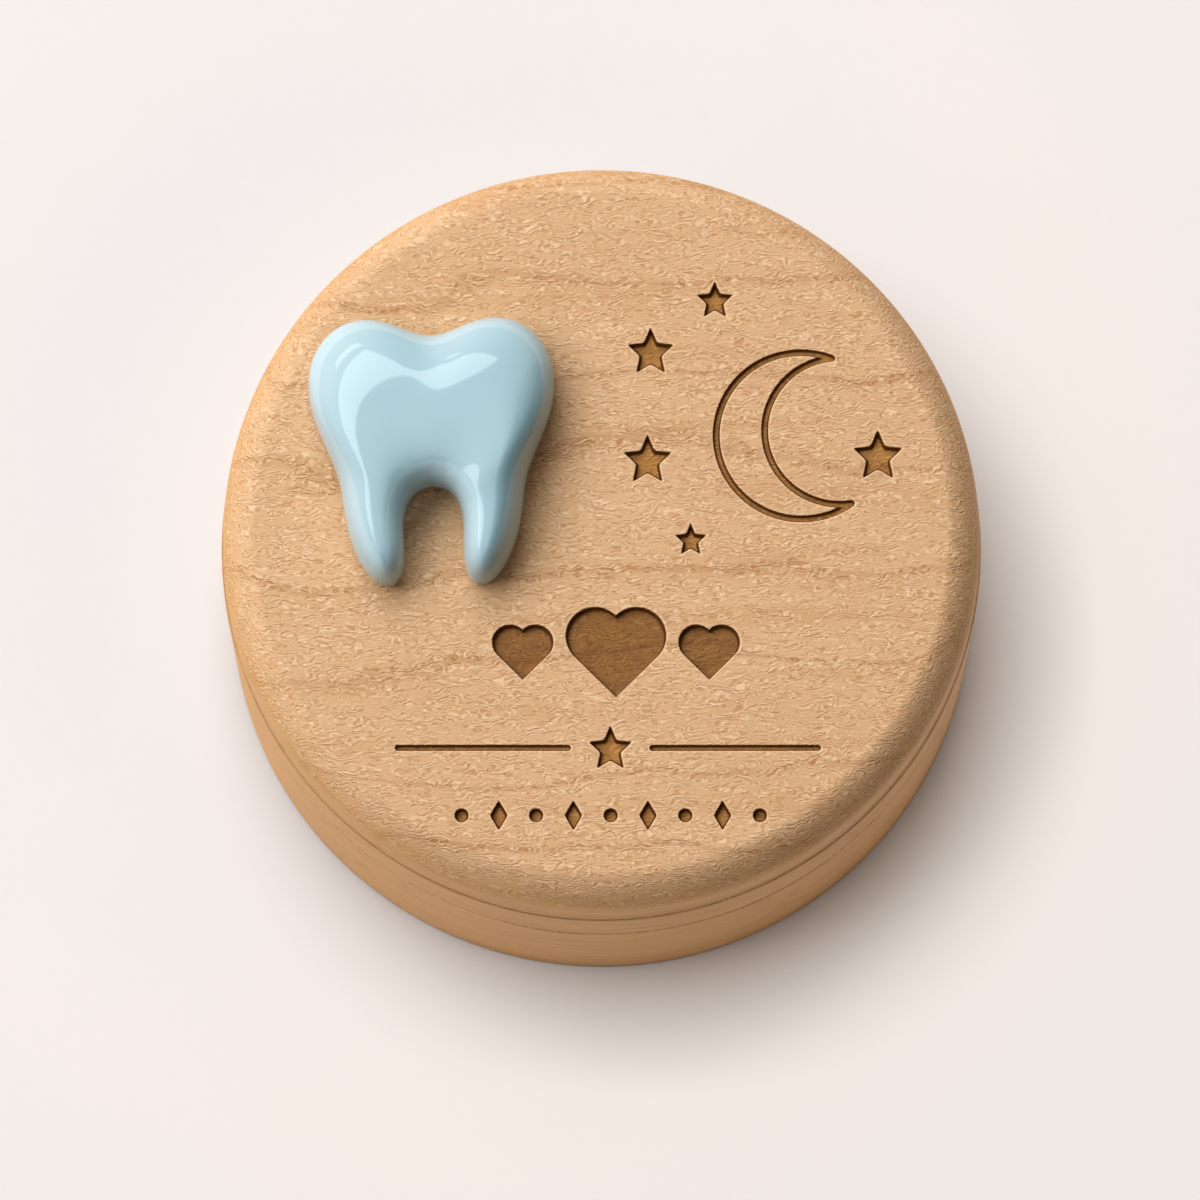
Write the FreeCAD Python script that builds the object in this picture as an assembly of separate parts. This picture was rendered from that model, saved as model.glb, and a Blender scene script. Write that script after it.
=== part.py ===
import FreeCAD
import Part
import math
import os

# A round turned wooden keepsake box for milk teeth. A hollow base carries a lift-off lid on a low
# spigot, and three pairs of disc magnets in the two rims hold the lid shut. A puffy cast molar is
# stuck on the lid beside an engraved crescent, stars and border lines.
# The box stands on z = 0 with its axis on Z. The lid's picture is upright towards +Y.

Vec = FreeCAD.Vector

# Turned base, all sizes in mm
outer_diameter = 60.0
wall = 7.5
floor_thickness = 4.0
cavity_depth = 12.0
foot_chamfer = 0.6
seam_chamfer = 0.3

# Spigot on the base and the socket that drops over it
spigot_wall = 2.5
spigot_height = 4.0
spigot_chamfer = 0.4
socket_clearance = 0.1
socket_headroom = 0.3

# Lid
lid_hollow_rise = 3.2
lid_top_thickness = 5.0
lid_edge_radius = 2.4
lid_edge_flats = 3
lid_step_width = 0.25
lid_step_drop = 6.2

# Closing magnets
magnet_count = 3
magnet_diameter = 3.0
magnet_thickness = 2.0
magnet_recess = 0.1
magnet_glue_gap = 0.05
first_magnet_angle = 90.0

# Felt disc on the cavity floor
felt_thickness = 2.0
felt_clearance = 0.3

# Molar and the sticky pad under it; its place is a share of the lid's flat radius
tooth_place = (-0.483, 0.221)
tooth_turn = 1.1
tooth_thickness = 5.6
tooth_slim_width = 3.2
tooth_fullness = 0.75
pad_width = 11.0
pad_length = 7.0
pad_thickness = 0.4
pad_corner = 1.5
pad_shift = 3.6

# Right half of the molar seen from above, from the midline to the root tip. Each station pairs a
# point on the arch between the roots with the point across from it on the outside.
arch_stations = (
    (0.0, -2.92), (0.42, -2.97), (0.82, -3.08), (1.2, -3.3), (1.55, -3.62), (1.87, -4.1),
    (2.12, -4.75), (2.3, -5.75), (2.32, -7.2), (2.33, -8.75), (2.62, -9.95), (3.15, -10.55),
)
outer_stations = (
    (0.0, 9.1), (3.3, 10.15), (6.6, 10.2), (9.05, 7.9), (9.62, 4.6), (8.8, 1.4),
    (7.5, -1.9), (7.0, -4.7), (6.5, -7.1), (5.7, -9.0), (4.75, -10.2), (3.85, -10.6),
)
quarter_steps = 4
stations_per_patch = 2
flat_tolerance = 0.001

# Engraving; places are shares of the lid's flat radius
engraving_depth = 0.6
groove_width = 0.5
star_inner_share = 0.46
stars = (
    (0.327, 0.676, 1.42), (0.142, 0.525, 1.82), (0.133, 0.207, 1.89),
    (0.256, -0.028, 1.24), (0.793, 0.219, 1.94), (0.026, -0.635, 1.69),
)
moon_place = (0.571, 0.273)
moon_radius = 6.62
moon_bite_radius = 5.72
moon_bite_shift = (3.06, 0.36)
border_row = -0.635
border_lines = ((-0.588, -0.086), (0.137, 0.626))

# Values that follow from the sizes above
outer_radius = outer_diameter / 2
cavity_radius = outer_radius - wall
spigot_radius = cavity_radius + spigot_wall
socket_radius = spigot_radius + socket_clearance
seam_height = floor_thickness + cavity_depth
spigot_top = seam_height + spigot_height
socket_top = spigot_top + socket_headroom
lid_ceiling = socket_top + lid_hollow_rise
lid_top = lid_ceiling + lid_top_thickness
lid_step_height = lid_top - lid_step_drop
lid_neck_radius = outer_radius - lid_step_width
face_radius = lid_neck_radius - lid_edge_radius
magnet_circle = (socket_radius + outer_radius) / 2
magnet_pocket_depth = magnet_thickness + magnet_recess


def line(start, end):
    return Part.makeLine(Vec(start[0], 0, start[1]), Vec(end[0], 0, end[1]))


def polyline(points):
    return [line(a, b) for a, b in zip(points, points[1:])]


def revolve(edges):
    return Part.Face(Part.Wire(edges)).revolve(Vec(0, 0, 0), Vec(0, 0, 1), 360)


def magnet_places(bottom):
    for index in range(magnet_count):
        angle = math.radians(first_magnet_angle + index * 360 / magnet_count)
        yield Vec(magnet_circle * math.cos(angle), magnet_circle * math.sin(angle), bottom)


def magnets(bottom):
    radius = magnet_diameter / 2
    return [Part.makeCylinder(radius, magnet_thickness, place) for place in magnet_places(bottom)]


def magnet_pockets(bottom):
    radius = magnet_diameter / 2 + magnet_glue_gap
    return Part.makeCompound(
        [Part.makeCylinder(radius, magnet_pocket_depth, place) for place in magnet_places(bottom)])


def box_base():
    cup = revolve(polyline([
        (0, 0),
        (outer_radius - foot_chamfer, 0),
        (outer_radius, foot_chamfer),
        (outer_radius, seam_height - seam_chamfer),
        (outer_radius - seam_chamfer, seam_height),
        (spigot_radius, seam_height),
        (spigot_radius, spigot_top - spigot_chamfer),
        (spigot_radius - spigot_chamfer, spigot_top),
        (cavity_radius, spigot_top),
        (cavity_radius, floor_thickness),
        (0, floor_thickness),
        (0, 0),
    ]))
    return cup.cut(magnet_pockets(seam_height - magnet_pocket_depth)).Solids[0]


def lid_edge():
    """Round edge, turned as narrow flats from the rim of the lid's face to its upright neck."""
    for corner in range(lid_edge_flats + 1):
        angle = math.radians(90 - 90 * corner / lid_edge_flats)
        yield (face_radius + lid_edge_radius * math.cos(angle),
               lid_top - lid_edge_radius * (1 - math.sin(angle)))


def lid_blank():
    return revolve(polyline([
        (0, lid_top),
        *lid_edge(),
        (lid_neck_radius, lid_step_height),
        (outer_radius, lid_step_height - lid_step_width),
        (outer_radius, seam_height + seam_chamfer),
        (outer_radius - seam_chamfer, seam_height),
        (socket_radius + spigot_chamfer, seam_height),
        (socket_radius, seam_height + spigot_chamfer),
        (socket_radius, socket_top),
        (cavity_radius, socket_top),
        (cavity_radius, lid_ceiling),
        (0, lid_ceiling),
        (0, lid_top),
    ]))


def on_face(across, along):
    return Vec(across * face_radius, along * face_radius, lid_top)


def pocket(edges):
    return Part.Face(Part.Wire(edges)).extrude(Vec(0, 0, -engraving_depth))


def disc_pocket(centre, radius):
    return Part.makeCylinder(radius, engraving_depth, centre - Vec(0, 0, engraving_depth))


def star_pocket(across, along, radius):
    points = []
    for corner in range(11):
        reach = radius if corner % 2 == 0 else radius * star_inner_share
        angle = math.radians(90 + 36 * corner)
        points.append(on_face(across, along) + Vec(reach * math.cos(angle), reach * math.sin(angle), 0))
    return pocket(Part.makePolygon(points).Edges)


def crescent(grow):
    centre = on_face(*moon_place)
    bite = centre + Vec(*moon_bite_shift, 0)
    return disc_pocket(centre, moon_radius + grow).cut(disc_pocket(bite, moon_bite_radius - grow))


def moon_groove():
    return crescent(groove_width / 2).cut(crescent(-groove_width / 2))


def border_groove(start_across, end_across):
    start = on_face(start_across, border_row)
    end = on_face(end_across, border_row)
    side = Vec(0, groove_width / 2, 0)
    tip = Vec(groove_width / 2, 0, 0)
    return pocket([
        Part.makeLine(start - side, end - side),
        Part.Arc(end - side, end + tip, end + side).toShape(),
        Part.makeLine(end + side, start + side),
        Part.Arc(start + side, start - tip, start - side).toShape(),
    ])


def engraving():
    cuts = [star_pocket(*star) for star in stars]
    cuts += [border_groove(*span) for span in border_lines]
    cuts.append(moon_groove())
    return Part.makeCompound(cuts)


def box_lid():
    return lid_blank().cut(magnet_pockets(seam_height)).cut(engraving()).Solids[0]


def base_felt():
    return Part.makeCylinder(cavity_radius - felt_clearance, felt_thickness, Vec(0, 0, floor_thickness))


def mirrored_curve(half):
    """Smooth curve through one half's stations and their mirror images, one unit per station."""
    points = [Vec(-x, y, 0) for x, y in half[:0:-1]] + [Vec(x, y, 0) for x, y in half]
    curve = Part.BSplineCurve()
    curve.interpolate(Points=points, Parameters=[float(index) for index in range(len(points))])
    return curve


def section_profile(width):
    """Offsets and heights of two conic quarters that rise from the flat back to the crest."""
    height = tooth_thickness * math.tanh(width / tooth_slim_width)
    half = []
    for step in range(quarter_steps + 1):
        t = step / quarter_steps
        corner = 2 * t * (1 - t) * tooth_fullness
        total = (1 - t) ** 2 + corner + t ** 2
        half.append((((1 - t) ** 2 + corner) / total * width / 2, (corner + t ** 2) / total * height))
    return half + [(-across, up) for across, up in half[-2::-1]]


def tooth_section(inner, outer):
    chord = outer - inner
    middle = (inner + outer) * 0.5
    profile = section_profile(chord.Length)
    chord.normalize()
    return [middle - chord * across + Vec(0, 0, up) for across, up in profile]


def tooth_skin():
    """Puffy skin through the sections, from the left root tip over the crown to the right one."""
    arch = mirrored_curve(arch_stations)
    outside = mirrored_curve(outer_stations)
    stations = range(2 * len(arch_stations) - 1)
    skin = Part.BSplineSurface()
    skin.interpolate([tooth_section(arch.value(at), outside.value(at)) for at in stations])
    rows = skin.getUKnots()
    columns = skin.getVKnots()
    crest = columns[len(columns) // 2]
    patches = []
    for start, end in zip(rows[::stations_per_patch], rows[stations_per_patch::stations_per_patch]):
        for low, high in ((columns[0], crest), (crest, columns[-1])):
            patch = skin.copy()
            patch.segment(start, end, low, high)
            patches.append(patch.toShape())
    return patches


def face_inside(edges):
    return Part.Face(Part.Wire(Part.__sortEdges__(edges)))


def on_lid(shape, rise):
    shape.rotate(Vec(0, 0, 0), Vec(0, 0, 1), tooth_turn)
    shape.translate(on_face(*tooth_place) + Vec(0, 0, rise))
    return shape


def tooth_ornament():
    """The skin closed by a flat back and by the two small flats at the root tips."""
    skin = tooth_skin()
    dome = Part.makeShell(skin)
    dome.sewShape()
    rim = dome.getFreeEdges().Edges
    back = [edge for edge in rim if edge.BoundBox.ZMax < flat_tolerance]
    tips = [edge for edge in rim if edge.BoundBox.ZMax >= flat_tolerance]
    faces = []
    for side in (-1, 1):
        tip = [edge for edge in tips if edge.CenterOfMass.x * side > 0]
        ends = [vertex.Point for edge in tip for vertex in edge.Vertexes if vertex.Z < flat_tolerance]
        closer = Part.makeLine(*ends)
        faces.append(face_inside(tip + [closer]))
        back.append(closer)
    shell = Part.makeShell(skin + faces + [face_inside(back)])
    shell.sewShape()
    return on_lid(Part.makeSolid(shell), pad_thickness)


def tooth_pad():
    corner = Vec(-pad_width / 2, pad_shift - pad_length / 2, 0)
    pad = Part.makeBox(pad_width, pad_length, pad_thickness, corner)
    upright = [edge for edge in pad.Edges if edge.BoundBox.ZLength > pad_thickness / 2]
    return on_lid(pad.makeFillet(pad_corner, upright).Solids[0], 0)


pieces = {
    "box_base": box_base(),
    "base_felt": base_felt(),
    "box_lid": box_lid(),
    "tooth_ornament": tooth_ornament(),
    "tooth_pad": tooth_pad(),
}
for number, magnet in enumerate(magnets(seam_height - magnet_pocket_depth), 1):
    pieces["base_magnet_%d" % number] = magnet
for number, magnet in enumerate(magnets(seam_height + magnet_recess), 1):
    pieces["lid_magnet_%d" % number] = magnet

os.makedirs("parts", exist_ok=True)
for name, shape in pieces.items():
    shape.exportStep("parts/%s.step" % name)
    print(name, shape.isValid(), shape.ShapeType, len(shape.Solids), round(shape.Volume, 2))
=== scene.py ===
# %% [markdown]
# # A turned wooden box for milk teeth
# The box is a shallow round cup with a lift-off lid, turned from one blank of pale maple. A glossy blue
# molar is stuck on the lid, and a crescent, stars and small ornaments are engraved beside it.
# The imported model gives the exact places. This lesson dresses it: each piece that shows is made again with
# the soft edges, the grain and the gloss of the real one, and it rides on the body it belongs to.

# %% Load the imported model
import bmesh
import bpy
import math
import numpy
from mathutils import Matrix, Vector, noise


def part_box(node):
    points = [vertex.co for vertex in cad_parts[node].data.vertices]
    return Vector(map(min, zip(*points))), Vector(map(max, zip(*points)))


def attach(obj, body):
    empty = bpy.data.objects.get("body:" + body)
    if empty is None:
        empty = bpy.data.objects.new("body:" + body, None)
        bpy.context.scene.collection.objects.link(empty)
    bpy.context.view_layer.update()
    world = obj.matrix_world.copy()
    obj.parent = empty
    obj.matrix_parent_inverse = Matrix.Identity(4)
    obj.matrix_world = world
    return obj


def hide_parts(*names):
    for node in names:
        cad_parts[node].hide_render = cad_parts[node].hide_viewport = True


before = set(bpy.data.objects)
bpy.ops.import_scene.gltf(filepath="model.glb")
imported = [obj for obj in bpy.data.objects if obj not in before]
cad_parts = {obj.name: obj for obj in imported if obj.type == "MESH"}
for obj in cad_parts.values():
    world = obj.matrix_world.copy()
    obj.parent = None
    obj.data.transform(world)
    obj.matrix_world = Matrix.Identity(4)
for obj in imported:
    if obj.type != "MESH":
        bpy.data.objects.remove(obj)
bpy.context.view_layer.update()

# %% [markdown]
# ## Sizes
# The box is measured in millimetres here, because a turner thinks in them, and MM turns them into metres
# where a mesh is made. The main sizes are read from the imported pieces, so the dressed box can't drift away
# from them. The others are the turner's own choices: the gaps, one wall and the widths of the lid's edge.

# %% Sizes in millimetres
MM = 0.001
felt_gap = 0.3
spigot_wall = 2.5
sliding_fit = 0.1
band_step = 0.25
edge_width = 2.4


def corners_of(node):
    low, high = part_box(node)
    return low / MM, high / MM


lid_low, lid_high = corners_of("box_lid")
felt_low, felt_high = corners_of("base_felt")
base_high = corners_of("box_base")[1]
pad_top = corners_of("tooth_pad")[1].z
outer_radius = base_high.x
spigot_top = base_high.z
seam_height = lid_low.z
lid_top = lid_high.z
cavity_radius = felt_high.x + felt_gap
spigot_radius = cavity_radius + spigot_wall
socket_radius = spigot_radius + sliding_fit
neck_radius = outer_radius - band_step
face_radius = neck_radius - edge_width
print("radius %.2f, seam %.2f, lid top %.2f" % (outer_radius, seam_height, lid_top))

# %% [markdown]
# ## Shader maths as Python
# A finish such as wood needs many small sums: stretch the grain, mask it, mix two browns. Adding Math nodes
# by hand hides the idea, so a small class wraps a socket and the usual signs add the nodes. Every other node
# comes from one method that sets a node's settings first and then its sockets.


# %% Wires that can be added and multiplied
class Wire:
    """An output of a node. Sums on wires add Math nodes, so a mask can be written as 1 - mask * 0.5."""

    def __init__(self, board, socket):
        self.board = board
        self.socket = socket

    def math(self, operation, first, second=0.0):
        return self.board.node("ShaderNodeMath", {"operation": operation}, {0: first, 1: second})

    def __add__(self, other):
        return self.math("ADD", self, other)

    def __sub__(self, other):
        return self.math("SUBTRACT", self, other)

    def __rsub__(self, other):
        return self.math("SUBTRACT", other, self)

    def __mul__(self, other):
        return self.math("MULTIPLY", self, other)

    def __truediv__(self, other):
        return self.math("DIVIDE", self, other)

    def __rtruediv__(self, other):
        return self.math("DIVIDE", other, self)

    def __abs__(self):
        return self.math("ABSOLUTE", self)

    __radd__ = __add__
    __rmul__ = __mul__

    def larger(self, other):
        return self.math("MAXIMUM", self, other)

    def wave(self):
        """A full swing from -1 to 1 for each whole number that the value passes."""
        return self.math("SINE", self * math.tau)

    def between(self, low, high):
        """0 below low, 1 above high, and an eased step from one to the other."""
        return self.board.node("ShaderNodeMapRange", {"interpolation_type": "SMOOTHSTEP"},
                               {"Value": self, "From Min": low, "From Max": high})


print("signs that a wire knows: + - * / and abs")


# %% Boards that hold a finish
class Board:
    """A node tree, emptied and ready for a finish."""

    def __init__(self, owner):
        owner.use_nodes = True
        self.owner = owner
        self.tree = owner.node_tree
        self.tree.nodes.clear()

    def node(self, kind, settings=None, sockets=None, out=0):
        """Any node: first its settings, then its sockets. One of its outputs comes back as a wire."""
        node = self.tree.nodes.new(kind)
        for name, value in (settings or {}).items():
            setattr(node, name, value)
        for name, value in (sockets or {}).items():
            if isinstance(value, Wire):
                self.tree.links.new(value.socket, node.inputs[name])
            else:
                node.inputs[name].default_value = value
        return Wire(self, node.outputs[out]) if node.outputs else None

    def mix(self, share, first, second, way="MIX"):
        return self.node("ShaderNodeMix", {"data_type": "RGBA", "blend_type": way},
                         {0: share, 6: first, 7: second}, out=2)

    def stretch(self, place, factors):
        return self.node("ShaderNodeVectorMath", {"operation": "MULTIPLY"}, {0: place, 1: factors})

    def along(self, axis, vector):
        return self.node("ShaderNodeSeparateXYZ", {}, {0: vector}, out=axis)

    def grain(self, place, factors, detail=2.0, roughness=0.5):
        """Cloudy noise from 0 to 1; factors say how many clouds there are in a millimetre each way."""
        return self.node("ShaderNodeTexNoise", {"noise_dimensions": "3D"},
                         {"Vector": self.stretch(place, factors), "Scale": 1.0, "Detail": detail,
                          "Roughness": roughness})

    def millimetres(self):
        place = self.node("ShaderNodeTexCoord", out="Object")
        return self.stretch(place, (1 / MM,) * 3)

    def facing(self):
        return self.node("ShaderNodeTexCoord", out="Normal")

    def marked(self, name):
        """A number that the mesh carries on its points."""
        return self.node("ShaderNodeAttribute", {"attribute_name": name}, out="Fac")

    def bump(self, height, depth):
        return self.node("ShaderNodeBump", {}, {"Strength": 1.0, "Distance": depth * MM, "Height": height})

    def surface(self, **sockets):
        named = {name.replace("_", " "): value for name, value in sockets.items()}
        shader = self.node("ShaderNodeBsdfPrincipled", {}, named)
        self.node("ShaderNodeOutputMaterial", {}, {"Surface": shader})
        return self.owner


print("shader helpers ready")

# %% [markdown]
# ## The wood
# The box is maple with a light oil. Its grain runs from left to right, so most patterns are stretched along
# X. A photo of wood could be wrapped round the box, but it would smear on the sides. A solid pattern that
# fills the whole blank needs no wrapping: the same place in the blank gives the same colour on the face, on
# the side and inside. The curly little fibres are lines where a slanted ramp, bent by soft noise, passes
# whole numbers, much as contour lines bend round the hills of a map.


# %% Curly fibres
def curls(board, place, spacing, clouds, bending, shift):
    """Waves between -1 and 1 whose crests run along the grain, curl round and break off."""
    spot = board.node("ShaderNodeVectorMath", {"operation": "ADD"}, {0: place, 1: (shift,) * 3})
    ramp = (board.along("Y", place) + board.along("Z", place) * 0.8) / spacing
    bend = board.grain(spot, (clouds * 0.6, clouds, clouds), 2.0)
    broken = board.grain(spot, (0.85, 2.4, 2.4), 1.0).between(0.34, 0.58)
    return (ramp + bend * bending).wave() * broken


def maple_fibres(board, place, level):
    """Two sets of curls laid over each other, which fade where the wood stands upright."""
    wide = curls(board, place, spacing=0.52, clouds=0.85, bending=7.0, shift=0)
    fine = curls(board, place, spacing=0.41, clouds=1.2, bending=6.0, shift=40)
    return (wide * 0.75 + fine * 0.6) * (0.3 + level.between(0.05, 0.45) * 0.7)


print("fibres: two sets of curls")

# %% [markdown]
# ### Burnt marks
# The engraving is scorched: each cut has a nearly black wall and a brown floor with patches of soot. Its rim
# is painted pale, partly as the fresh wood of the cut edge and partly as a painted highlight along it.
# Separate materials would meet in hard lines, so the mesh carries a number instead, called
# burn_and_rim_highlight. It is below 0 on a rim, from a half to three quarters on a floor and 1 on a wall,
# and the wood finish reads it.


# %% Scorched wood
def scorched(board, place, colour):
    burn_and_rim_highlight = board.marked("burn_and_rim_highlight")
    soot = board.grain(place, (0.7, 1.0, 1.0), 3.0, 0.6).between(0.42, 0.66)
    cut_edge_and_highlight = (0.92, 0.68, 0.44, 1)
    brown_floor = (0.64, 0.475, 0.215, 1)
    black_wall = (0.20, 0.14, 0.09, 1)
    soot_brown = (0.12, 0.05, 0.015, 1)
    # The pale rim is partly fresh wood at the cut edge and partly a painted highlight along it.
    colour = board.mix((burn_and_rim_highlight * -1.0).between(0.0, 1.0) * 0.45, colour, cut_edge_and_highlight)
    colour = board.mix(burn_and_rim_highlight.between(0.0, 0.5), colour, brown_floor, "MULTIPLY")
    colour = board.mix(burn_and_rim_highlight.between(0.5, 1.0), colour, black_wall, "MULTIPLY")
    return board.mix(burn_and_rim_highlight.between(0.3, 0.5) * soot * 0.3, colour, soot_brown)


print("burn: below 0 on a rim, 0.5 to 0.75 on a floor, 1 on a wall")

# %% [markdown]
# ### The finish as a whole
# On the clean wood the colours go on like thin washes, the broad ones first: clouds, long streaks, dark lines
# of the growth rings, a warmer side that is painted warm shade, with the fine lines of turning, then the
# fibres, whose crests get a painted highlight and whose creases painted shade, and the pores. The fibres and
# pores also feed the bump, so that the light finds them.


# %% Oiled maple
def oiled_maple():
    board = Board(bpy.data.materials.new("oiled_maple"))
    place = board.millimetres()
    level = abs(board.along("Z", board.facing()))
    side = 1 - level.between(0.2, 0.9)
    fibre = maple_fibres(board, place, level)
    crest = fibre.between(0.25, 1.0)
    crease = (fibre * -1.0).between(0.25, 1.0)

    drift = board.grain(place, (0.03, 0.07, 0.07), 3.0)
    slope = (board.along("Y", place) + board.along("Z", place) * 0.4) / 7.6
    ring = (slope + drift * 2.2).wave().between(0.93, 1.0)
    streak = board.grain(place, (0.035, 0.5, 0.5), 3.0, 0.55).between(0.50, 0.72)
    turning = board.grain(place, (0.12, 0.12, 3.6), 2.0)
    pore = board.grain(place, (1.2, 4.5, 4.5), 1.0).between(0.69, 0.79)
    cloud = board.grain(place, (0.06, 0.12, 0.12), 2.0)

    honey = (0.665, 0.398, 0.209, 1)
    cream = (0.755, 0.473, 0.261, 1)
    colour = board.mix(cloud, honey, cream)
    colour = board.mix(streak * 0.42, colour, (0.57, 0.30, 0.135, 1))
    # The ring lines are darkest in the creases, which adds painted shade there.
    colour = board.mix(ring * (0.30 + crease * 0.6), colour, (0.42, 0.19, 0.07, 1))
    # The warmer, deeper orange on upright faces is painted warm shade.
    colour = board.mix(side * 0.5, colour, (0.80, 0.38, 0.08, 1))
    colour = board.mix(side * turning.between(0.4, 0.7) * 0.3, colour, (0.42, 0.22, 0.08, 1))
    # Creases are painted darker and crests lighter: painted shade and a painted highlight on the fibre
    # relief.
    colour = board.mix(crease * 0.58, colour, (0.47, 0.215, 0.075, 1))
    colour = board.mix(crest * 0.55, colour, (0.96, 0.71, 0.46, 1))
    colour = board.mix(pore * 0.5, colour, (0.28, 0.115, 0.04, 1))

    relief = fibre + turning * 0.4 - pore * 0.5
    return board.surface(Base_Color=scorched(board, place, colour), Specular_IOR_Level=0.2,
                         Roughness=0.5 + cloud * 0.12 - crest * 0.06, Normal=board.bump(relief, 0.021))


maple = oiled_maple()
print("maple nodes:", len(maple.node_tree.nodes))

# %% [markdown]
# ## Turning
# A turned piece is a profile spun round the axis. Blender's Screw modifier could spin it, but the rims also
# carry bored pockets and the face carries the engraving, so rings of points are made in code: a path of
# corners is eased, spun into rings, and the rings are joined. An eased corner also gets a ring a little way
# before and after it, so that the flat beside it keeps a flat shine.

# %% Profiles
SEGMENTS = 192
GUARD = 1.5


def bend_between(start, corner, end, steps):
    """Points of the soft bend that leaves start towards the corner and arrives at end."""
    for step in range(steps + 1):
        t = step / steps
        yield start.lerp(corner, t).lerp(corner.lerp(end, t), t)


def eased(path, steps=5):
    """The (radius, height, ease) corners of a profile as points, each corner rounded by its ease.

    The extra points beside a corner lie GUARD times its ease away from it.
    """
    places = [Vector(corner[:2]) for corner in path]
    points = [places[0]]
    for before, here, after, corner in zip(places, places[1:], places[2:], path[1:]):
        ease = corner[2]
        back = (before - here).normalized()
        ahead = (after - here).normalized()
        points.append(here + back * ease * GUARD)
        points += bend_between(here + back * ease, here, here + ahead * ease, steps)
        points.append(here + ahead * ease * GUARD)
    return points + [places[-1]]


def circle(radius, centre=(0, 0), count=SEGMENTS):
    turn = [math.tau * step / count for step in range(count)]
    return [(centre[0] + radius * math.cos(a), centre[1] + radius * math.sin(a)) for a in turn]


print("points in a turn:", SEGMENTS)


# %% Loops and faces
def loop_at(mesh, outline, height):
    return [mesh.verts.new((x * MM, y * MM, height * MM)) for x, y in outline]


def join_loops(mesh, loops):
    for lower, upper in zip(loops, loops[1:]):
        for index in range(len(lower)):
            ahead = (index + 1) % len(lower)
            mesh.faces.new((lower[index], lower[ahead], upper[ahead], upper[index]))


def spin(mesh, path, centre=(0, 0), count=SEGMENTS):
    loops = [loop_at(mesh, circle(radius, centre, count), height) for radius, height in path]
    join_loops(mesh, loops)
    return loops


def fill_flat(mesh, loops):
    """A flat face between loops: the first holds the others as holes, in any order."""
    edges = []
    for loop in loops:
        for first, second in zip(loop, loop[1:] + loop[:1]):
            edges.append(mesh.edges.get((first, second)) or mesh.edges.new((first, second)))
    bmesh.ops.triangle_fill(mesh, edges=edges, use_beauty=True)


print("loops can be joined, spun and filled")

# %% [markdown]
# ### From mesh to piece
# Every piece ends in the same way: it gets smooth shading that breaks only at true corners, its finish and
# the body that it rides on, and the imported node that it stands for is hidden.

# %% Finish a piece
TRUE_CORNER = math.radians(50)


def finish_piece(mesh, name, material, body, nodes):
    bmesh.ops.recalc_face_normals(mesh, faces=mesh.faces)
    data = bpy.data.meshes.new(name)
    mesh.to_mesh(data)
    mesh.free()
    data.shade_smooth()
    data.set_sharp_from_angle(angle=TRUE_CORNER)
    data.materials.append(material)
    piece = bpy.data.objects.new(name, data)
    bpy.context.collection.objects.link(piece)
    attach(piece, body)
    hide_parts(*nodes)
    print(name, "has", len(data.polygons), "faces")
    return piece


print("corners sharper than %.0f degrees stay hard" % math.degrees(TRUE_CORNER))

# %% [markdown]
# ## The magnet pockets
# Three blind holes are drilled in each rim for the closing magnets. They are loops like any other: a wide
# one on the rim, which the flat face is filled round, and the rest going in to the bottom of the hole.

# %% Pockets in the rims
magnet_nodes = sorted(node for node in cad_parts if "_magnet_" in node)
glue_gap = 0.05
pocket_depth = 2.1
INTO_BASE = -1
INTO_LID = 1


def disc_of(node):
    """Centre and radius of a magnet, seen from above."""
    low, high = corners_of(node)
    return ((low.x + high.x) / 2, (low.y + high.y) / 2), (high.x - low.x) / 2


def pocket(mesh, node, way):
    """Sinks the hole of one magnet and gives its loop on the rim."""
    centre, radius = disc_of(node)
    hole = radius + glue_gap
    steps = ((0.08, 0.0), (0.05, 0.0), (0.02, 0.03), (0.0, 0.09), (0.0, pocket_depth))
    loops = spin(mesh, [(hole + grow, seam_height + way * depth) for grow, depth in steps], centre, 48)
    mesh.faces.new(loops[-1])
    return loops[0]


print("magnets:", magnet_nodes)

# %% [markdown]
# ## The base
# A cup with a thick wall. Its rim has a step: the low spigot inside stands up and guides the lid, and the
# flat land round it takes the magnets. The foot and the seam edge are eased as with fine paper on the lathe.
# The profile could be one closed path, but the land between its two parts has to be filled round the pockets.


# %% Turn the base
def turn_base():
    mesh = bmesh.new()
    mesh.verts.layers.float.new("burn_and_rim_highlight")
    outer_side = spin(mesh, eased([
        (outer_radius - 2.5, 0, 0),
        (outer_radius, 0, 0.7),
        (outer_radius, seam_height, 0.3),
        (outer_radius - 0.7, seam_height, 0),
    ]))
    inner_side = spin(mesh, eased([
        (spigot_radius + 0.3, seam_height, 0),
        (spigot_radius, seam_height, 0.08),
        (spigot_radius, spigot_top, 0.45),
        (cavity_radius, spigot_top, 0.3),
        (cavity_radius, felt_low.z, 1.0),
        (cavity_radius - 3, felt_low.z, 0),
    ]))
    mesh.faces.new(outer_side[0])
    mesh.faces.new(inner_side[-1])
    holes = [pocket(mesh, node, INTO_BASE) for node in magnet_nodes if "base" in node]
    fill_flat(mesh, [outer_side[-1], inner_side[0]] + holes)
    return finish_piece(mesh, "turned_base", maple, "base", ["box_base"])


turned_base = turn_base()

# %% [markdown]
# ## The engraving
# A laser or a fine cutter sinks each mark into the lid: a rounded rim, a steep burnt wall and a flat brown
# floor. A bump map would lose the wall from low angles, so the marks are cut into the mesh. Each mark is a
# function that gives its outline grown or shrunk by a distance, always with the same number of points, so
# that a stack of outlines going down makes rim, wall and floor.


# %% Stars and lozenges
def rounded(corners, share=0.12, steps=4):
    points = []
    for before, corner, after in zip(corners[-1:] + corners[:-1], corners, corners[1:] + corners[:1]):
        points += bend_between(corner.lerp(before, share), corner, corner.lerp(after, share), steps)
    return points


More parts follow.
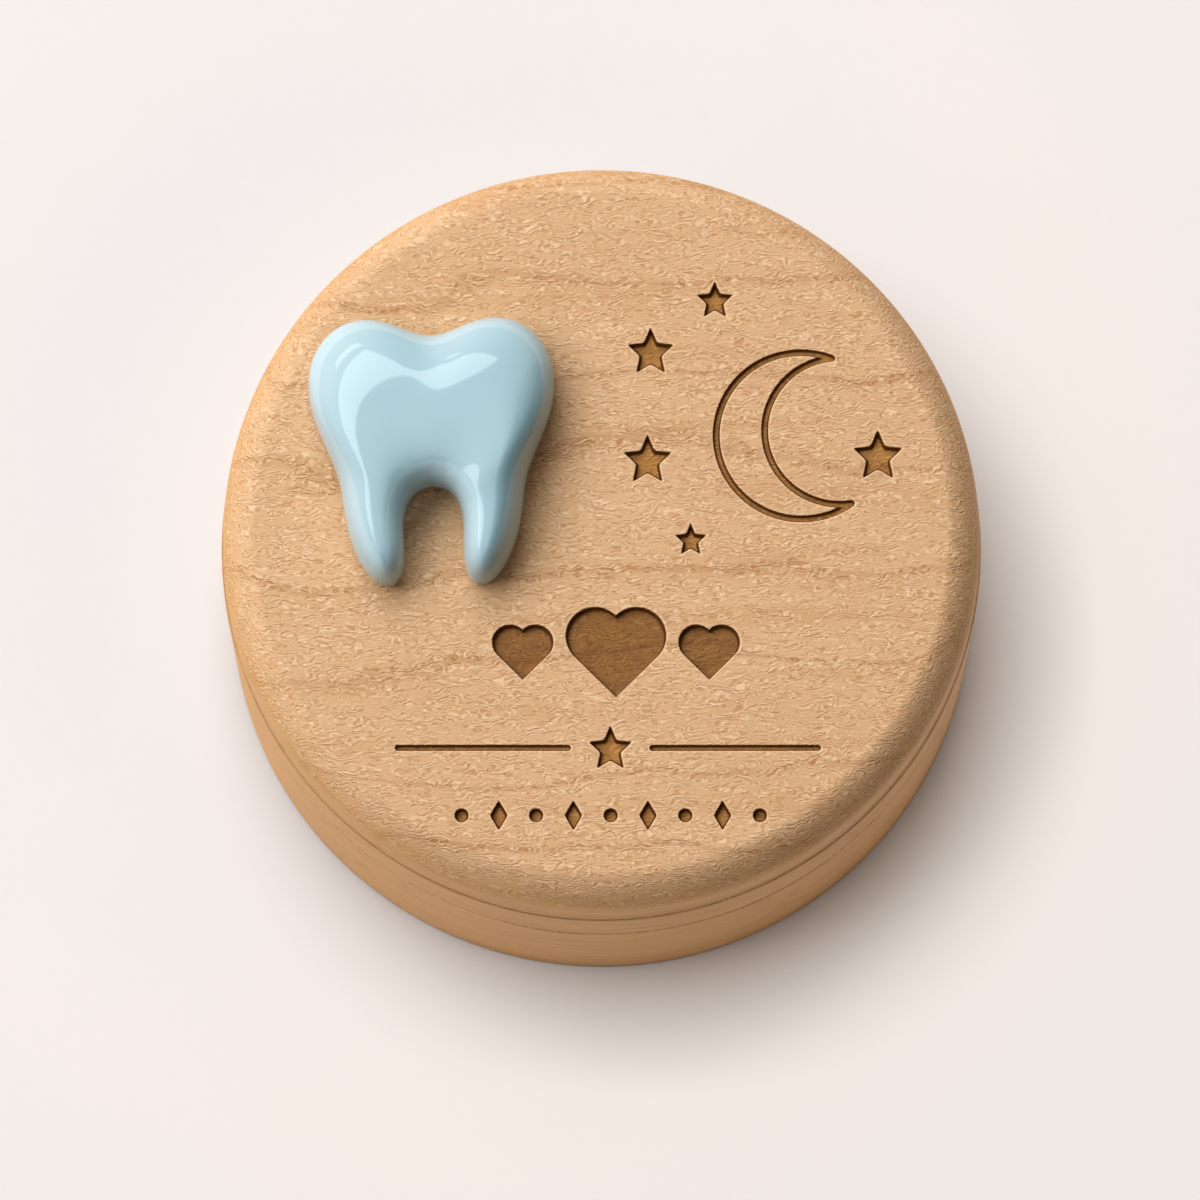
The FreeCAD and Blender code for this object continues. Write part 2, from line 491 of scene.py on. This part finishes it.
def star(place, radius):
    """Five points, a little taller than wide. Its tips reach past the radius, because they are rounded."""
    inner_share = 0.46
    tip_share = 1.07
    stretch = 1.06
    notch = (inner_share * math.cos(math.radians(36)), inner_share * math.sin(math.radians(36)))
    edge_distance = radius * notch[1] / math.dist((1, 0), notch)
    centre = Vector(place) - Vector((0, (stretch - 1) * radius))

    def outline(grow):
        size = radius * tip_share * (1 + grow / edge_distance)
        corners = []
        for corner in range(10):
            reach = size * (inner_share if corner % 2 else 1)
            angle = math.radians(90 + 36 * corner)
            corners.append(centre + Vector((math.cos(angle), math.sin(angle) * stretch)) * reach)
        return rounded(corners, 0.18)
    return outline


def lozenge(place, width, height):
    edge_distance = width * height / 2 / math.hypot(width, height)

    def outline(grow):
        size = (1 + grow / edge_distance) / 2
        sides = ((width, 0), (0, height), (-width, 0), (0, -height))
        return rounded([Vector(place) + Vector(side) * size for side in sides])
    return outline


print("a star has", len(star((0, 0), 1)(0)), "points round its outline")


# %% Beads, bars and hearts
def on_circle(centre, reach, angle):
    return Vector(centre) + Vector((math.cos(angle), math.sin(angle))) * reach


def bead(place, radius):
    return lambda grow: circle(radius + grow, place, 40)


def bar(start, end, width):
    """A line with round ends."""
    def outline(grow):
        points = []
        for tip, first in ((end, -90), (start, 90)):
            for step in range(13):
                points.append(on_circle(tip, width / 2 + grow, math.radians(first + 15 * step)))
        return points
    return outline


def heart(place, height):
    """Two half circles on a square that stands on its corner. Its height grows faster than its edge moves."""
    height_share = 2.4

    def outline(grow):
        tall = height + height_share * grow
        lobe = tall / (1 + 3 * math.sqrt(0.5))
        reach = lobe * math.sqrt(2)
        bottom = Vector(place) - Vector((0, tall / 2))
        points = [bottom.lerp(bottom + Vector((reach, reach)), step / 12) for step in range(1, 12)]
        for side, first in ((1, -45), (-1, 45)):
            centre = bottom + Vector((side * reach / 2, 1.5 * reach))
            for step in range(1 if side < 0 else 0, 25):
                points.append(on_circle(centre, lobe, math.radians(first + 7.5 * step)))
        left = bottom + Vector((-reach, reach))
        return points + [left.lerp(bottom, step / 12) for step in range(1, 13)]
    return outline


print("a heart has", len(heart((0, 0), 1)(0)), "points round its outline")


# %% The crescent
def arc(centre, reach, first, last, steps):
    return [on_circle(centre, reach, angle) for angle in numpy.linspace(first, last, steps + 1)]


def crescent(place, radius, bite_radius, shift):
    """A moon between two circles. A grown outline has round tips, a shrunk one has nearly sharp tips."""
    gap = math.hypot(*shift)
    facing = math.atan2(shift[1], shift[0])

    def openings(wide, bite):
        """Half angles, on the wide circle and on the bite, of the two points where the circles cross."""
        along = (gap ** 2 + wide ** 2 - bite ** 2) / (2 * gap)
        return math.acos(along / wide), math.acos((along - gap) / bite)

    def outline(grow):
        grown = grow > 0
        wide = radius + grow
        bite = bite_radius - grow
        tip_radius = radius if grown else wide
        trim = 0 if grown else 0.04
        open_wide, open_bite = openings(tip_radius, bite_radius if grown else bite)
        low = on_circle(place, tip_radius, facing - open_wide)
        high = on_circle(place, tip_radius, facing + open_wide)
        back = arc(place, wide, facing + open_wide + trim, facing - open_wide - trim + math.tau, 96)
        hollow = arc(Vector(place) + Vector(shift), bite,
                     facing - open_bite - trim, facing + open_bite + trim - math.tau, 72)
        if grown:
            low_tip = arc(low, grow, facing - open_wide, facing + math.pi - open_bite, 8)
            high_tip = arc(high, grow, facing - math.pi + open_bite, facing + open_wide, 8)
        else:
            low_tip = list(bend_between(back[-1], low, hollow[0], 8))
            high_tip = list(bend_between(hollow[-1], high, back[0], 8))
        return back + low_tip[1:-1] + hollow + high_tip[1:-1]
    return outline


print("outlines: star, lozenge, bead, bar, heart, crescent")

# %% [markdown]
# ### Going down
# A stack lists the steps from the rim to the floor: how far the outline is grown, how deep it lies and how
# burnt it is, or on the rim how much painted highlight it gets. All marks share the rounded rim. A pit has a
# wide floor. A divider line is shallower, because it is narrow. The moon is a groove with two walls, so its
# stack goes down one wall and up the other.

# %% Cut a mark
# On the rim steps a number below 0 paints the pale rim: partly fresh wood, partly a painted highlight.
rim_steps = ((0.16, 0, 0), (0.09, 0, -0.6), (0.03, 0.01, -1), (0.0, 0.05, 0.4), (-0.03, 0.12, 1.0))
groove_width = 0.54
groove_half = groove_width / 2
groove_side = rim_steps + ((-0.11, 0.42, 0.9), (-0.17, 0.45, 0.6))
groove_stack = [(groove_half + grow, depth, burn_and_highlight) for grow, depth, burn_and_highlight in groove_side]
groove_stack += [(-groove_half - grow, depth, burn_and_highlight) for grow, depth, burn_and_highlight in reversed(groove_side)]
divider_stack = rim_steps + ((-0.09, 0.36, 0.9), (-0.13, 0.42, 0.7), (-0.19, 0.42, 0.62))


def pit_stack(floor_char):
    wall = ((-0.12, 0.50, 1.0), (-0.16, 0.58, 0.8))
    floor = ((-0.22, 0.60, floor_char + 0.05), (-0.28, 0.60, floor_char))
    return rim_steps + wall + floor


def sink(mesh, outline, stack):
    """Joins the outlines of a stack of (grow, depth, char) steps and gives the first and the last loop."""
    burn_and_rim_highlight = mesh.verts.layers.float["burn_and_rim_highlight"]
    loops = []
    for grow, depth, burn_and_highlight in stack:
        loop = loop_at(mesh, outline(grow), lid_top - depth)
        for point in loop:
            point[burn_and_rim_highlight] = burn_and_highlight
        loops.append(loop)
    join_loops(mesh, loops)
    return loops[0], loops[-1]


print("steps in the groove:", len(groove_stack), "and in a divider line:", len(divider_stack))

# %% [markdown]
# ### The picture on the lid
# Places on the face are shares of its radius, so that the marks would spread out on a wider lid. Their own
# sizes are in millimetres. The moon stands at the right with five stars round it. Below are a row of hearts,
# two divider lines with a star between them, and a row of beads and lozenges by turns.


# %% Where the marks are
def on_face(across, up):
    return across * face_radius, up * face_radius


heart_row = -0.357
divider_row = -0.635
bead_row = -0.83
bead_count = 9
bead_spacing = 2.9
divider_width = 0.48
stars = [
    (0.327, 0.676, 1.42), (0.142, 0.525, 1.82), (0.133, 0.207, 1.89),
    (0.256, -0.028, 1.24), (0.793, 0.219, 1.94), (0.026, divider_row, 1.69),
]
hearts = [(-0.224, 4.4), (0.042, 7.2), (0.308, 4.4)]
dividers = [(-0.579, -0.095), (0.146, 0.617)]

pits = [(star(on_face(x, y), radius), pit_stack(0.5)) for x, y, radius in stars]
pits += [(heart(on_face(x, heart_row), height), pit_stack(0.75)) for x, height in hearts]
for left, right in dividers:
    line = bar(on_face(left, divider_row), on_face(right, divider_row), divider_width)
    pits.append((line, divider_stack))
for index in range(bead_count):
    x, y = on_face(0.027, bead_row)
    place = (x + (index - bead_count // 2) * bead_spacing, y)
    mark = lozenge(place, 1.4, 2.4) if index % 2 else bead(place, 0.55)
    pits.append((mark, pit_stack(0.6)))
moon = crescent(on_face(0.574, 0.276), radius=6.68, bite_radius=5.88, shift=(3.0, 0.38))
print("pits:", len(pits))

# %% [markdown]
# ## The lid
# The lid's face breaks in a soft ridge, rolls over a round edge into an upright neck, and a tiny step leads
# out to the band above the seam. The rim is relieved by a little over a tenth of a millimetre, which leaves
# the dark hairline of the seam. Below, the socket drops over the spigot. Two profiles are spun, as for the
# base, and the face is one flat fill between the round edge and the rims of the marks.

# %% Profiles of the lid
step_height = lid_top - 6.2
hollow_top = lid_top - 5.0
socket_top = spigot_top + 0.3
relieved_rim = seam_height + 0.13
ridge = math.radians(19)


def lid_edge():
    """Points of the round edge, which leaves the face in a soft ridge and ends upright at the neck."""
    radius = (neck_radius - face_radius) / (1 - math.sin(ridge))
    for angle in numpy.linspace(math.pi / 2 - ridge, 0, 25):
        yield Vector((neck_radius - radius * (1 - math.cos(angle)),
                      lid_top - radius * (math.cos(ridge) - math.sin(angle))))


def lid_outer_side():
    edge = list(lid_edge())
    face = [Vector((face_radius - inset, lid_top)) for inset in (0.5, 0.35, 0.25)]
    band = eased([
        (neck_radius, step_height + 2.6, 0),
        (neck_radius, step_height + 0.3, 0.4),
        (outer_radius, step_height - 0.5, 0.4),
        (outer_radius, relieved_rim, 0.3),
        (outer_radius - 0.6, relieved_rim, 0.04),
        (outer_radius - 0.68, seam_height, 0.04),
        (outer_radius - 0.78, seam_height, 0),
    ])
    return face[:2] + list(bend_between(face[2], edge[0], edge[2], 4)) + edge[3:] + band


def lid_inner_side():
    return eased([
        (socket_radius + 0.65, seam_height, 0),
        (socket_radius, seam_height, 0.4),
        (socket_radius, socket_top, 0.08),
        (cavity_radius, socket_top, 0.3),
        (cavity_radius, hollow_top, 1.0),
        (cavity_radius - 3, hollow_top, 0),
    ])


print("rings of the lid:", len(lid_outer_side()), "outside and", len(lid_inner_side()), "inside")


# %% Turn and engrave the lid
def engrave(mesh):
    """Sinks every mark and gives their loops on the face."""
    rims = []
    for outline, stack in pits:
        rim, floor = sink(mesh, outline, stack)
        mesh.faces.new(floor)
        rims.append(rim)
    moon_rim, island = sink(mesh, moon, groove_stack)
    mesh.faces.new(island)
    return [moon_rim] + rims


def turn_lid():
    mesh = bmesh.new()
    mesh.verts.layers.float.new("burn_and_rim_highlight")
    outer_side = spin(mesh, lid_outer_side())
    inner_side = spin(mesh, lid_inner_side())
    mesh.faces.new(inner_side[-1])
    holes = [pocket(mesh, node, INTO_LID) for node in magnet_nodes if "lid" in node]
    fill_flat(mesh, [outer_side[-1], inner_side[0]] + holes)
    fill_flat(mesh, [outer_side[0]] + engrave(mesh))
    return finish_piece(mesh, "turned_lid", maple, "lid", ["box_lid"])


turned_lid = turn_lid()

# %% [markdown]
# ## The molar
# The ornament is a puffy molar, cast in one piece with a flat back. It could be sculpted or built from
# joined balls, but its look depends on long, clean reflections, so its skin follows the outline exactly:
# pairs of stations, one on the arch between the roots and one across from it on the outside, are joined by
# domed sections. A smooth curve through the stations fills in the sections between them. Only the right half
# is listed, because the left half mirrors it.

# %% Stations of the molar
arch_stations = [
    (0.0, -2.92), (0.42, -2.97), (0.82, -3.08), (1.2, -3.3), (1.55, -3.62), (1.87, -4.1),
    (2.12, -4.75), (2.3, -5.75), (2.32, -7.2), (2.33, -8.75), (2.62, -9.95), (3.15, -10.55),
]
outer_stations = [
    (0.0, 9.1), (3.3, 10.15), (6.6, 10.2), (9.05, 7.9), (9.62, 4.6), (8.8, 1.4),
    (7.5, -1.9), (7.0, -4.7), (6.5, -7.1), (5.7, -9.0), (4.75, -10.2), (3.85, -10.6),
]


def mirrored(half_points):
    return [(-x, y) for x, y in half_points[:0:-1]] + half_points


def smooth_through(points, steps):
    """A natural cubic curve through the points, with the given number of steps from one to the next."""
    points = numpy.array(points, float)
    system = numpy.eye(len(points))
    pull = numpy.zeros_like(points)
    for index in range(1, len(points) - 1):
        system[index, index - 1:index + 2] = 1, 4, 1
        pull[index] = 6 * (points[index - 1] - 2 * points[index] + points[index + 1])
    pull = numpy.linalg.solve(system, pull)
    curve = []
    for index in range(len(points) - 1):
        for t in numpy.arange(steps) / steps:
            s = 1 - t
            bend = (s ** 3 - s) * pull[index] + (t ** 3 - t) * pull[index + 1]
            curve.append(s * points[index] + t * points[index + 1] + bend / 6)
    return curve + [points[-1]]


arch_line = smooth_through(mirrored(arch_stations), 6)
outer_line = smooth_through(mirrored(outer_stations), 6)
print("sections:", len(arch_line))

# %% [markdown]
# ### The dome of a section
# A section is nearly as high as the molar where it is wide, and lower where a root thins out. It starts under
# the rim, which tucks in towards the flat back, and rolls over the top. The outer side is a wide round. The
# inner side, at the arch, has a higher power, so that it stays flat for longer and then turns down steeply.

# %% Domed sections
molar_height = 5.6
thinning_width = 3.2
rim_share = 0.26
tuck_share = 0.2
outer_power = 1.8


def dome(width):
    """Offsets and heights across one section, from under its outer rim over the top to its inner one."""
    height = molar_height * math.tanh(width / thinning_width)
    rim = rim_share * height
    inner_power = 1.9 + 0.13 * width
    sides = []
    for power in (outer_power, inner_power):
        side = []
        for a in numpy.linspace(0, math.pi / 2, 6)[:-1]:
            side.append((width / 2 - tuck_share * rim * (1 - math.sin(a)), rim * (1 - math.cos(a))))
        for a in numpy.linspace(0, math.pi / 2, 24):
            across = width / 2 * math.cos(a) ** (2 / power)
            up = rim + (height - rim) * math.sin(a) ** (2 / power)
            side.append((across, up))
        sides.append(side)
    return sides[0] + [(-across, up) for across, up in sides[1][-2::-1]]


print("points across a section:", len(dome(10)))

# %% [markdown]
# ### Blue gloss
# The casting is a pale blue resin with a high gloss. Its colour is painted deeper on the sides that face away
# from the upper left and paler on those that face it, as painted shade and light, and its rim is painted
# palest, as a painted reflection. One flat blue would look like paint, so the colour is mixed from the way
# that a point faces and how near it is to the rim.


# %% Finish of the molar
def blue_gloss():
    board = Board(bpy.data.materials.new("blue_gloss"))
    place = board.millimetres()
    facing = board.facing()
    cloud = board.grain(place, (0.12, 0.12, 0.2), 1.0)
    speck = board.grain(place, (3.0, 3.0, 3.0), 2.0)
    # Painted shade on the sides facing away from the upper left, painted light on those facing it.
    away = board.along("X", facing) * 0.78 - board.along("Y", facing) * 0.62
    rim_reflection = 1 - board.marked("inward").between(1.2, 1.45)
    colour = board.mix(cloud.between(0.3, 0.7), (0.387, 0.588, 0.668, 1), (0.417, 0.618, 0.693, 1))
    colour = board.mix(away.between(0.1, 0.8) * 0.6, colour, (0.20, 0.47, 0.60, 1))
    colour = board.mix((away * -1.0).between(0.1, 0.8) * 0.6, colour, (0.52, 0.63, 0.68, 1))
    # The rim is painted paler, a painted reflection of the pale paper at its edge.
    colour = board.mix(rim_reflection * 0.28, colour, (0.68, 0.84, 0.89, 1))
    return board.surface(Base_Color=colour, Roughness=0.05 + speck * 0.05, IOR=1.45)


molar_blue = blue_gloss()
print("molar nodes:", len(molar_blue.node_tree.nodes))

# %% Cast the molar
molar_turn = Matrix.Rotation(math.radians(1.1), 2)
molar_place = Vector(on_face(-0.483, 0.221))


def cast_molar():
    mesh = bmesh.new()
    inward = mesh.verts.layers.float.new("inward")
    loops = []
    for inner, outer in zip(arch_line, outer_line):
        chord = Vector(outer - inner)
        centre = Vector((inner + outer) / 2)
        loop = []
        for across, up in dome(chord.length):
            flat = centre + chord.normalized() * across
            flat.rotate(molar_turn)
            x, y = flat + molar_place
            point = mesh.verts.new((x * MM, y * MM, (pad_top + up) * MM))
            point[inward] = chord.length / 2 - abs(across)
            loop.append(point)
        loops.append(loop)
    join_loops(mesh, loops)
    mesh.faces.new(loops[0])
    mesh.faces.new(loops[-1])
    return finish_piece(mesh, "cast_molar", molar_blue, "lid", ["tooth_ornament"])


molar = cast_molar()

# %% [markdown]
# ## The felt
# A disc of pressed wool lies in the cup so that the teeth don't rattle. Its cut edge is slightly soft and
# its top is uneven. Cloth simulation would do little for so flat a thing, so the disc is a fine web of rings
# that noise lifts a little.


# %% Wool felt
def wool_felt():
    board = Board(bpy.data.materials.new("wool_felt"))
    place = board.millimetres()
    cloud = board.grain(place, (0.35, 0.35, 0.35), 3.0)
    hair = board.grain(place, (2.2, 5.5, 4.0), 4.0, 0.7)
    cross_hair = board.grain(place, (5.5, 2.2, 4.0), 4.0, 0.7)
    colour = board.mix(cloud, (0.74, 0.68, 0.58, 1), (0.86, 0.82, 0.74, 1))
    colour = board.mix(hair.between(0.5, 0.75) * 0.4, colour, (0.95, 0.92, 0.86, 1))
    colour = board.mix(cross_hair.between(0.55, 0.8) * 0.4, colour, (0.60, 0.53, 0.43, 1))
    return board.surface(Base_Color=colour, Roughness=0.95, Sheen_Weight=0.35,
                         Normal=board.bump(hair + cross_hair, 0.12))


felt_wool = wool_felt()
print("felt nodes:", len(felt_wool.node_tree.nodes))

# %% Cut the felt
felt_radius = felt_high.x
felt_middle = (felt_low.z + felt_high.z) / 2
felt_face = felt_high.z - 0.1
unevenness = 0.09


def cut_felt():
    mesh = bmesh.new()
    path = eased([
        (2, felt_low.z, 0),
        (felt_radius, felt_low.z, 0.2),
        (felt_radius, felt_face, 0.5),
        (felt_radius - 1.5, felt_face, 0),
    ])
    path += [Vector((radius, felt_face)) for radius in numpy.linspace(felt_radius - 2, 0.5, 44)]
    loops = spin(mesh, path)
    mesh.faces.new(loops[0])
    mesh.faces.new(loops[-1])
    for point in mesh.verts:
        if point.co.z > felt_middle * MM:
            point.co.z += unevenness * MM * noise.noise(point.co / MM * 0.9)
    return finish_piece(mesh, "felt_disc", felt_wool, "base", ["base_felt"])


felt_disc = cut_felt()

# %% [markdown]
# ## Magnets
# The magnets are small nickel-plated discs with rolled edges. A plain cylinder would catch no light on its
# edge, so they are spun from an eased profile, like the box, and each rides on the half it is glued into.


# %% Press in the magnets
def nickel():
    board = Board(bpy.data.materials.new("nickel_plate"))
    place = board.millimetres()
    cloud = board.grain(place, (0.8, 0.8, 0.8), 3.0)
    scratch = board.grain(place, (0.6, 14.0, 3.0), 2.0)
    colour = board.mix(cloud, (0.62, 0.61, 0.59, 1), (0.76, 0.75, 0.73, 1))
    return board.surface(Base_Color=colour, Metallic=1.0, Roughness=0.16 + scratch * 0.2,
                         Normal=board.bump(scratch, 0.004))


def press_magnet(node, material):
    mesh = bmesh.new()
    low, high = corners_of(node)
    centre, radius = disc_of(node)
    loops = spin(mesh, eased([
        (radius - 0.6, low.z, 0),
        (radius, low.z, 0.2),
        (radius, high.z, 0.2),
        (radius - 0.6, high.z, 0),
    ]), centre, 64)
    mesh.faces.new(loops[0])
    mesh.faces.new(loops[-1])
    name = node.replace("_magnet_", "_disc_")
    body = node.split("_")[0]
    return finish_piece(mesh, name, material, body, [node])


plate = nickel()
discs = [press_magnet(node, plate) for node in magnet_nodes]

# %% [markdown]
# ## The sticky pad
# A thin pad of white foam holds the molar on the lid. It could be modelled again, but only its edge could
# ever be seen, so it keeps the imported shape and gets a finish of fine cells.


# %% Foam of the sticky pad
def white_foam():
    board = Board(bpy.data.materials.new("white_foam"))
    cell = board.node("ShaderNodeTexVoronoi", {}, {"Vector": board.millimetres(), "Scale": 6.0})
    colour = board.mix(cell, (0.72, 0.72, 0.70, 1), (0.90, 0.90, 0.88, 1))
    return board.surface(Base_Color=colour, Roughness=0.85, Normal=board.bump(cell, 0.05))


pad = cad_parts["tooth_pad"]
pad.data.materials.clear()
pad.data.materials.append(white_foam())
print("foam on", pad.name)

# %% [markdown]
# ## The studio
# The box stands on a sweep of pale warm paper. The paper could have one colour, but the lit wall of the box
# throws a warm light on it, so its tone is cooler beside that wall and the two cancel out.


# %% Paper floor
def lay_floor():
    reach = 3.0
    beside_wall = (-12, 10, 0)
    cool_white = (0.785, 0.815, 0.858, 1)
    warm_white = (0.92, 0.89, 0.865, 1)
    data = bpy.data.meshes.new("paper_floor")
    corners = [(-reach, -reach, 0), (reach, -reach, 0), (reach, reach, 0), (-reach, reach, 0)]
    data.from_pydata(corners, [], [(0, 1, 2, 3)])
    board = Board(bpy.data.materials.new("warm_paper"))
    apart = board.node("ShaderNodeVectorMath", {"operation": "DISTANCE"},
                       {0: board.millimetres(), 1: beside_wall}, out="Value")
    tone = board.mix(apart.between(20, 58), cool_white, warm_white)
    data.materials.append(board.surface(Base_Color=tone, Roughness=0.9))
    floor = bpy.data.objects.new("paper_floor", data)
    bpy.context.collection.objects.link(floor)
    return floor


paper_floor = lay_floor()
print("paper reaches", max(paper_floor.dimensions), "m")

# %% [markdown]
# ### Lamps
# One large softbox hangs at the upper left, turned so that the molar mirrors it as a slanted band, and a
# strip farther behind lights the edges. They light the box alone. A third softbox hangs almost straight
# above and lights the paper alone, so that the box throws a short, soft shadow. One lamp for all could not
# give both the long highlight and the short shadow. Lamps and cards are large and far off, so they are placed
# in metres.


# %% Hang the lamps
def hang_lamp(name, place, size, watts, turn=0):
    """A level softbox that shines straight down."""
    lamp = bpy.data.lights.new(name, "AREA")
    lamp.shape = "RECTANGLE"
    lamp.size, lamp.size_y = size
    lamp.energy = watts
    holder = bpy.data.objects.new(name, lamp)
    holder.location = place
    holder.rotation_euler.z = math.radians(turn)
    bpy.context.collection.objects.link(holder)
    return holder


def light_only(lamp, pieces):
    """The lamp lights these pieces alone, as a flag does in a studio."""
    group = bpy.data.collections.new("lit_by_" + lamp.name)
    for piece in pieces:
        group.objects.link(piece)
    lamp.light_linking.receiver_collection = group


key = hang_lamp("key_softbox", (-0.70, 0.55, 1.03), (1.0, 2.14), 31.2, turn=-38)
strip = hang_lamp("edge_strip", (-1.35, 2.10, 1.03), (0.75, 1.3), 13.0, turn=-57)
top = hang_lamp("floor_softbox", (-0.32, 0.30, 1.97), (1.0, 1.0), 34.6)
box_pieces = [turned_base, turned_lid, molar, felt_disc, pad] + discs
for lamp in (key, strip):
    light_only(lamp, box_pieces)
light_only(top, [paper_floor])
print("lamp watts:", [lamp.data.energy for lamp in (key, strip, top)])

# %% [markdown]
# ### Dark cards
# Two dark brown cards stand at the right and in front, out of the camera's sight. The gloss of the molar and
# the shaded side of the box mirror them, which gives both a dark side. A weaker glow would do that too, but
# it would darken the lit side as well.

# %% Stand the cards
dark_brown = (0.16, 0.09, 0.04, 1)
dark_card = Board(bpy.data.materials.new("dark_card")).surface(Base_Color=dark_brown, Roughness=0.9)
card_height = 0.7
right_back = (0.45, 0.35)
right_front = (0.45, -0.45)
left_front = (-0.25, -0.45)


def stand_card(name, start, end):
    corners = [(*start, 0), (*end, 0), (*end, card_height), (*start, card_height)]
    data = bpy.data.meshes.new(name)
    data.from_pydata(corners, [], [(0, 1, 2, 3)])
    data.materials.append(dark_card)
    card = bpy.data.objects.new(name, data)
    bpy.context.collection.objects.link(card)
    card.visible_camera = False
    card.visible_shadow = False
    print(name, "stands from", start, "to", end)


stand_card("card_right", right_front, right_back)
stand_card("card_front", left_front, right_front)

# %% [markdown]
# ### Glow
# An even, faint glow comes from all round, as from pale walls. What the camera, gloss and glass see of it has
# a strength of 1, so that the backdrop looks as bright as the paper without putting more light on the box.
# Glow and lamps together light a level face at the plain strength where a colour looks as it is written.

# %% Light the walls
world = bpy.data.worlds.new("studio_glow")
bpy.context.scene.world = world
glow = Board(world)
camera_ray, glossy_ray, glass_ray = (
    glow.node("ShaderNodeLightPath", out=name)
    for name in ("Is Camera Ray", "Is Glossy Ray", "Is Transmission Ray"))
seen = camera_ray.larger(glossy_ray).larger(glass_ray)
around = glow.node("ShaderNodeBackground", {}, {"Color": (1.0, 0.94, 0.86, 1), "Strength": 0.25})
backdrop = glow.node("ShaderNodeBackground", {}, {"Color": (0.913, 0.855, 0.807, 1), "Strength": 1.0})
both = glow.node("ShaderNodeMixShader", {}, {0: seen, 1: around, 2: backdrop})
glow.node("ShaderNodeOutputWorld", {}, {"Surface": both})
print("glow nodes:", len(world.node_tree.nodes))

# %% [markdown]
# ## The camera
# The picture is taken from far away with a long lens, so the round lid hardly tapers. The camera looks
# almost straight down and leans back a little towards the viewer. It is placed from the point that it aims
# at, its lean and its distance, because those are what a photographer would measure.

# %% Camera
aim = Vector((-0.101, 0, 1.189)) * MM
distance = 730.976 * MM
lean = math.radians(11.62)
lens = bpy.data.cameras.new("long_lens")
lens.lens = 270
lens.sensor_width = 36
camera = bpy.data.objects.new("long_lens", lens)
camera.location = aim + Vector((0, -math.sin(lean), math.cos(lean))) * distance
camera.rotation_euler = (lean, 0, 0)
bpy.context.collection.objects.link(camera)
bpy.context.scene.camera = camera
bpy.context.scene.view_settings.view_transform = "Standard"
print("camera at", tuple(camera.location))
